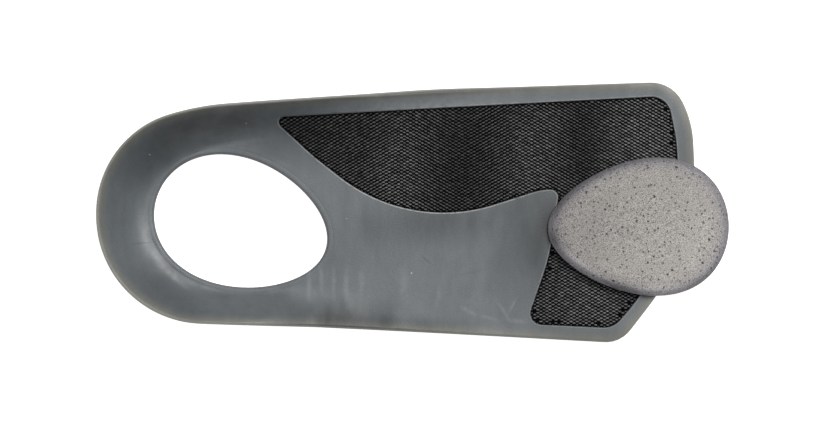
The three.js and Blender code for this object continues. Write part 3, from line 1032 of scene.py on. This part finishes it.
def yarn_piece(yarn, plan, edge, settings, heights):
    """Piece of many short raised lengths of one yarn, joined in one mesh."""
    chance = np.random.default_rng(settings.seed + yarn.axis)
    count = len(plan)
    pitch = (settings.warp_pitch, settings.weft_pitch)
    along = np.linspace(-0.5, 0.5, FLOAT_ALONG)
    across = np.linspace(0, math.pi, FLOAT_ACROSS)
    arch = np.cos(along * math.pi) ** FLOAT_ARCH
    run = yarn.length * pitch[yarn.axis] * along[:, None] * np.ones(FLOAT_ACROSS)
    side = FLOAT_END_WIDTH + (1 - FLOAT_END_WIDTH) * arch
    side = yarn.width * pitch[1 - yarn.axis] / 2 * side[:, None] * np.cos(across)
    rise = (FLOAT_END_RISE + (1 - FLOAT_END_RISE) * arch)[:, None] * np.sin(across)
    rise = (rise - FLOAT_END_SINK * (1 - arch)[:, None]).ravel()
    pressed = np.clip(edge / PRESSED_EDGE, PRESSED_LEAST, 1)
    size = pressed * chance.uniform(*FLOAT_SIZES, count)
    lift = yarn.height * pressed * chance.uniform(*FLOAT_LIFTS, count)
    drift = chance.normal(0, FLOAT_DRIFT, (count, 2))
    turn = chance.normal(0, FLOAT_TURN, count) + yarn_lean(plan) * (-1) ** yarn.axis
    shade = chance.uniform(*FLOAT_SHADES, count)
    flat = np.column_stack((run.ravel(), side.ravel()) if yarn.axis == 0 else (-side.ravel(), run.ravel()))
    x, y = (flat[None] * size[:, None, None]).transpose(2, 0, 1)
    cos, sin = np.cos(turn)[:, None], np.sin(turn)[:, None]
    places = np.stack((x * cos - y * sin, x * sin + y * cos), axis=-1) + (plan + drift)[:, None]
    ground = heights.at(places.reshape(-1, 2)).reshape(count, -1) - settings.sink
    points = np.concatenate((places, (ground + rise * lift[:, None])[..., None]), axis=-1)
    mesh = bpy.data.meshes.new(yarn.name)
    mesh.from_pydata(points.reshape(-1, 3).tolist(), [], float_faces(count).tolist())
    mesh.update()
    piece = bpy.data.objects.new(yarn.name, mesh)
    bpy.context.scene.collection.objects.link(piece)
    face_outwards(piece)
    # Share of the painted highlight on each raised length's crown.
    store_values(piece, "crown", np.tile(np.clip(rise, 0, 1), count))
    store_values(piece, "shade", np.repeat(shade, FLOAT_POINTS))
    return piece


# Operators


class INSOLE_OT_mould_shell(Operator):
    """Mould the cupped shell and cut the recess for the cloth"""

    bl_idname = "insole.mould_shell"
    bl_label = "Mould shell"
    bl_options = {"REGISTER", "UNDO"}

    def execute(self, context):
        settings = context.scene.insole_shell
        section = ShellWall(settings.wall, SPOKE_COUNT).section()
        deselect_all()
        bpy.ops.mesh.primitive_torus_add(
            major_segments=section.shape[0], minor_segments=section.shape[1], location=(0, 0, 0)
        )
        shell = new_piece("moulded_shell")
        move_points(shell, section.reshape(-1, 3))
        face_outwards(shell)
        heights = cloth_heights(settings)
        outline = rounded_outline(CLOTH_CORNERS, CLOTH_EDGE_POINTS)
        self.raise_collar(shell, heights, outline, settings)
        self.cut_recess(shell, heights, outline, settings)
        self.mark_points(shell, heights, outline, settings)
        finish_piece(shell, shell_material(settings), ["insole_shell"])
        return {"FINISHED"}

    def raise_collar(self, shell, heights, outline, settings):
        """Adds a thin slab over the recess's plan, of which the cut leaves a fine raised line."""
        wide = grown(outline, settings.recess_gap + settings.recess_chamfer + settings.collar_width)
        height = settings.collar_height
        slab = lying_slab("collar_slab", heights, wide, upright_sides(wide), -height, COLLAR_ROOT, -1.0)
        boolean(shell, slab, "UNION")

    def cut_recess(self, shell, heights, outline, settings):
        """Cuts the recess with a slab that follows the surface and has flared sides."""
        surface = heights.at(outline) + settings.collar_height
        close = grown(outline, settings.recess_gap)
        wide = grown(outline, settings.recess_gap + settings.recess_chamfer + CUT_PROUD)
        sides = [
            flat_ring(close, CUT_LOW),
            flat_ring(close, surface - settings.recess_chamfer),
            flat_ring(wide, surface + CUT_PROUD),
            flat_ring(wide, CUT_HIGH),
        ]
        depth = settings.recess_depth
        cutter = lying_slab("recess_slab", heights, outline, sides, depth, CUTTER_HEIGHT, 1.0)
        boolean(shell, cutter, "DIFFERENCE")

    def mark_points(self, shell, heights, outline, settings):
        """Stores how near each point is to the rim and the opening, and what the collar is."""
        points = points_of(shell)
        plan = points[:, :2]
        angles = np.linspace(0, 2 * math.pi, LIP_POINTS, endpoint=False)
        rim = distance_to(rounded_outline(SHELL_CORNERS, RIM_POINTS), plan)
        lip = distance_to(egg_outline(OPENING, angles), plan)
        near = distance_to(outline, plan) < settings.recess_gap + COLLAR_REACH * settings.collar_width
        proud = points[:, 2] - heights.at(plan) > COLLAR_PROUD * settings.collar_height
        # The rim value also places the painted highlight on the outermost edge, the lip value places the
        # painted highlight round the opening, and the collar places the painted highlight on the raised line.
        store_values(shell, "rim", np.clip(1 - rim / settings.rim_band, 0, 1))
        store_values(shell, "lip", np.clip(1 - lip / LIP_BAND, 0, 1))
        store_values(shell, "collar", near & proud)


class INSOLE_OT_lay_cloth(Operator):
    """Lay the dark cloth in the recess and raise its yarns"""

    bl_idname = "insole.lay_cloth"
    bl_label = "Lay cloth"
    bl_options = {"REGISTER", "UNDO"}

    def execute(self, context):
        settings = context.scene.insole_cloth
        heights = cloth_heights(context.scene.insole_shell)
        outline = rounded_outline(CLOTH_CORNERS, CLOTH_EDGE_POINTS)
        sides = upright_sides(outline)
        cloth = lying_slab("woven_panel", heights, outline, sides, settings.sink, settings.thickness, -1.0)
        finish_piece(cloth, ground_material(settings), ["cloth_panel"])
        yarns = self.raise_yarns(settings, heights)
        return {"FINISHED"}

    def raise_yarns(self, settings, heights):
        """Weft and warp where each crosses over the other, as two joined pieces."""
        plan, weft_over, edge = weave_places(settings)
        pieces = []
        for yarn, over, colour in (
            (WEFT, weft_over, settings.weft_colour_and_painted_sheen),
            (WARP, ~weft_over, settings.warp_colour),
        ):
            piece = yarn_piece(yarn, plan[over], edge[over], settings, heights)
            finish_piece(piece, yarn_material(yarn, colour))
            pieces.append(piece)
        return pieces


class INSOLE_OT_press_pad(Operator):
    """Shape the domed foam pad and press it on the front of the shell"""

    bl_idname = "insole.press_pad"
    bl_label = "Press pad"
    bl_options = {"REGISTER", "UNDO"}

    def execute(self, context):
        settings = context.scene.insole_pad
        deselect_all()
        bpy.ops.mesh.primitive_uv_sphere_add(
            segments=PAD_SEGMENTS, ring_count=PAD_BANDS, radius=1, location=(0, 0, 0)
        )
        pad = new_piece("foam_pad")
        points = points_of(pad)
        latitude = np.arcsin(np.clip(points[:, 2], -1, 1)) / math.pi + 0.5
        angles = np.arctan2(points[:, 1], points[:, 0])
        shares, levels = np.array(PAD_RINGS).T
        steps = np.hypot(np.diff(shares) * PAD_PLAN.length / 2, np.diff(levels))
        along = np.concatenate([[0], np.cumsum(steps)])
        share = np.interp(latitude * along[-1], along, shares)
        height = np.interp(latitude * along[-1], along, levels)
        middle = MM * np.array((PAD_PLAN.x, PAD_PLAN.y))
        plan = middle + (egg_outline(PAD_PLAN, angles) - middle) * share[:, None]
        move_points(pad, np.column_stack((plan, settings.lift + MM * height)))
        face_outwards(pad)
        # Share of the cooler, darker edge colour, which is partly painted shade.
        edge = np.clip((share - PAD_EDGE_START) / PAD_EDGE_SPAN, 0, 1) ** PAD_EDGE_POWER
        store_values(pad, "edge", np.where(height > PAD_FOOT, edge, 1.0))
        finish_piece(pad, foam_material(settings), ["metatarsal_pad"])
        return {"FINISHED"}


class INSOLE_OT_set_stage(Operator):
    """Set the floor, the soft light and the camera"""

    bl_idname = "insole.set_stage"
    bl_label = "Set stage"
    bl_options = {"REGISTER", "UNDO"}

    def execute(self, context):
        settings = context.scene.insole_stage
        deselect_all()
        bpy.ops.mesh.primitive_plane_add(size=settings.floor_size, location=(0, 0, 0))
        floor = new_piece("floor")
        floor.data.materials.append(floor_material())
        for light in LIGHTS:
            self.add_light(light, getattr(settings, light.power))
        self.light_sky(context.scene, settings.sky)
        self.add_camera(context.scene, settings)
        context.scene.view_settings.view_transform = "Standard"
        return {"FINISHED"}

    def add_light(self, light, power):
        """Adds a square soft light that looks at the middle of the floor."""
        deselect_all()
        bpy.ops.object.light_add(type="AREA", location=light.place)
        lamp = bpy.context.object
        lamp.name = light.name
        lamp.data.size = light.size
        lamp.data.energy = power
        lamp.rotation_euler = Vector(light.place).to_track_quat("Z", "Y").to_euler()

    def light_sky(self, scene, strength):
        """Gives even light from all round, and a pale backdrop to the camera."""
        world = bpy.data.worlds.new("Pale sky")
        world.use_nodes = True
        nodes = Nodes(world.node_tree)
        seen = nodes.add("ShaderNodeLightPath").outputs["Is Camera Ray"]
        strength = nodes.ranged(seen, 0.0, 1.0, strength, 1.0)
        nodes.feed(nodes.tree.nodes["Background"], {"Color": WHITE, "Strength": strength})
        scene.world = world

    def add_camera(self, scene, settings):
        """Looks straight down, with the toes to the right."""
        bpy.ops.object.camera_add(location=(*CAMERA_PLACE, settings.camera_height))
        camera = bpy.context.object
        camera.name = "Camera"
        camera.rotation_euler = (0, 0, 0)
        camera.data.sensor_fit = "HORIZONTAL"
        camera.data.sensor_width = SENSOR_WIDTH
        reach = settings.camera_height - scene.insole_shell.wall
        camera.data.lens = SENSOR_WIDTH * reach / settings.view_width
        scene.camera = camera


class INSOLE_PT_sidebar(Panel):
    """Steps and sizes of the insole"""

    bl_idname = "INSOLE_PT_sidebar"
    bl_label = "Insole"
    bl_space_type = "VIEW_3D"
    bl_region_type = "UI"
    bl_category = "Insole"

    def draw(self, context):
        for operator in OPERATORS:
            self.layout.operator(operator.bl_idname)
        for name in SETTINGS:
            box = self.layout.box()
            group = getattr(context.scene, name)
            for setting in group.bl_rna.properties.keys():
                if setting not in ("rna_type", "name"):
                    box.prop(group, setting)


SETTINGS = {
    "insole_shell": ShellSettings,
    "insole_cloth": ClothSettings,
    "insole_pad": PadSettings,
    "insole_stage": StageSettings,
}
OPERATORS = (
    INSOLE_OT_mould_shell,
    INSOLE_OT_lay_cloth,
    INSOLE_OT_press_pad,
    INSOLE_OT_set_stage,
)


def register():
    """Registers the settings, the operators and the panel."""
    for name, group in SETTINGS.items():
        bpy.utils.register_class(group)
        setattr(bpy.types.Scene, name, PointerProperty(type=group))
    for item in (*OPERATORS, INSOLE_PT_sidebar):
        bpy.utils.register_class(item)


def unregister():
    """Takes the panel, the operators and the settings away again."""
    for item in (INSOLE_PT_sidebar, *reversed(OPERATORS)):
        bpy.utils.unregister_class(item)
    for name, group in SETTINGS.items():
        delattr(bpy.types.Scene, name)
        bpy.utils.unregister_class(group)


def main():
    """Models every piece in order."""
    register()
    bpy.ops.insole.mould_shell()
    bpy.ops.insole.lay_cloth()
    bpy.ops.insole.press_pad()
    bpy.ops.insole.set_stage()
    deselect_all()


if __name__ == "__main__":
    main()
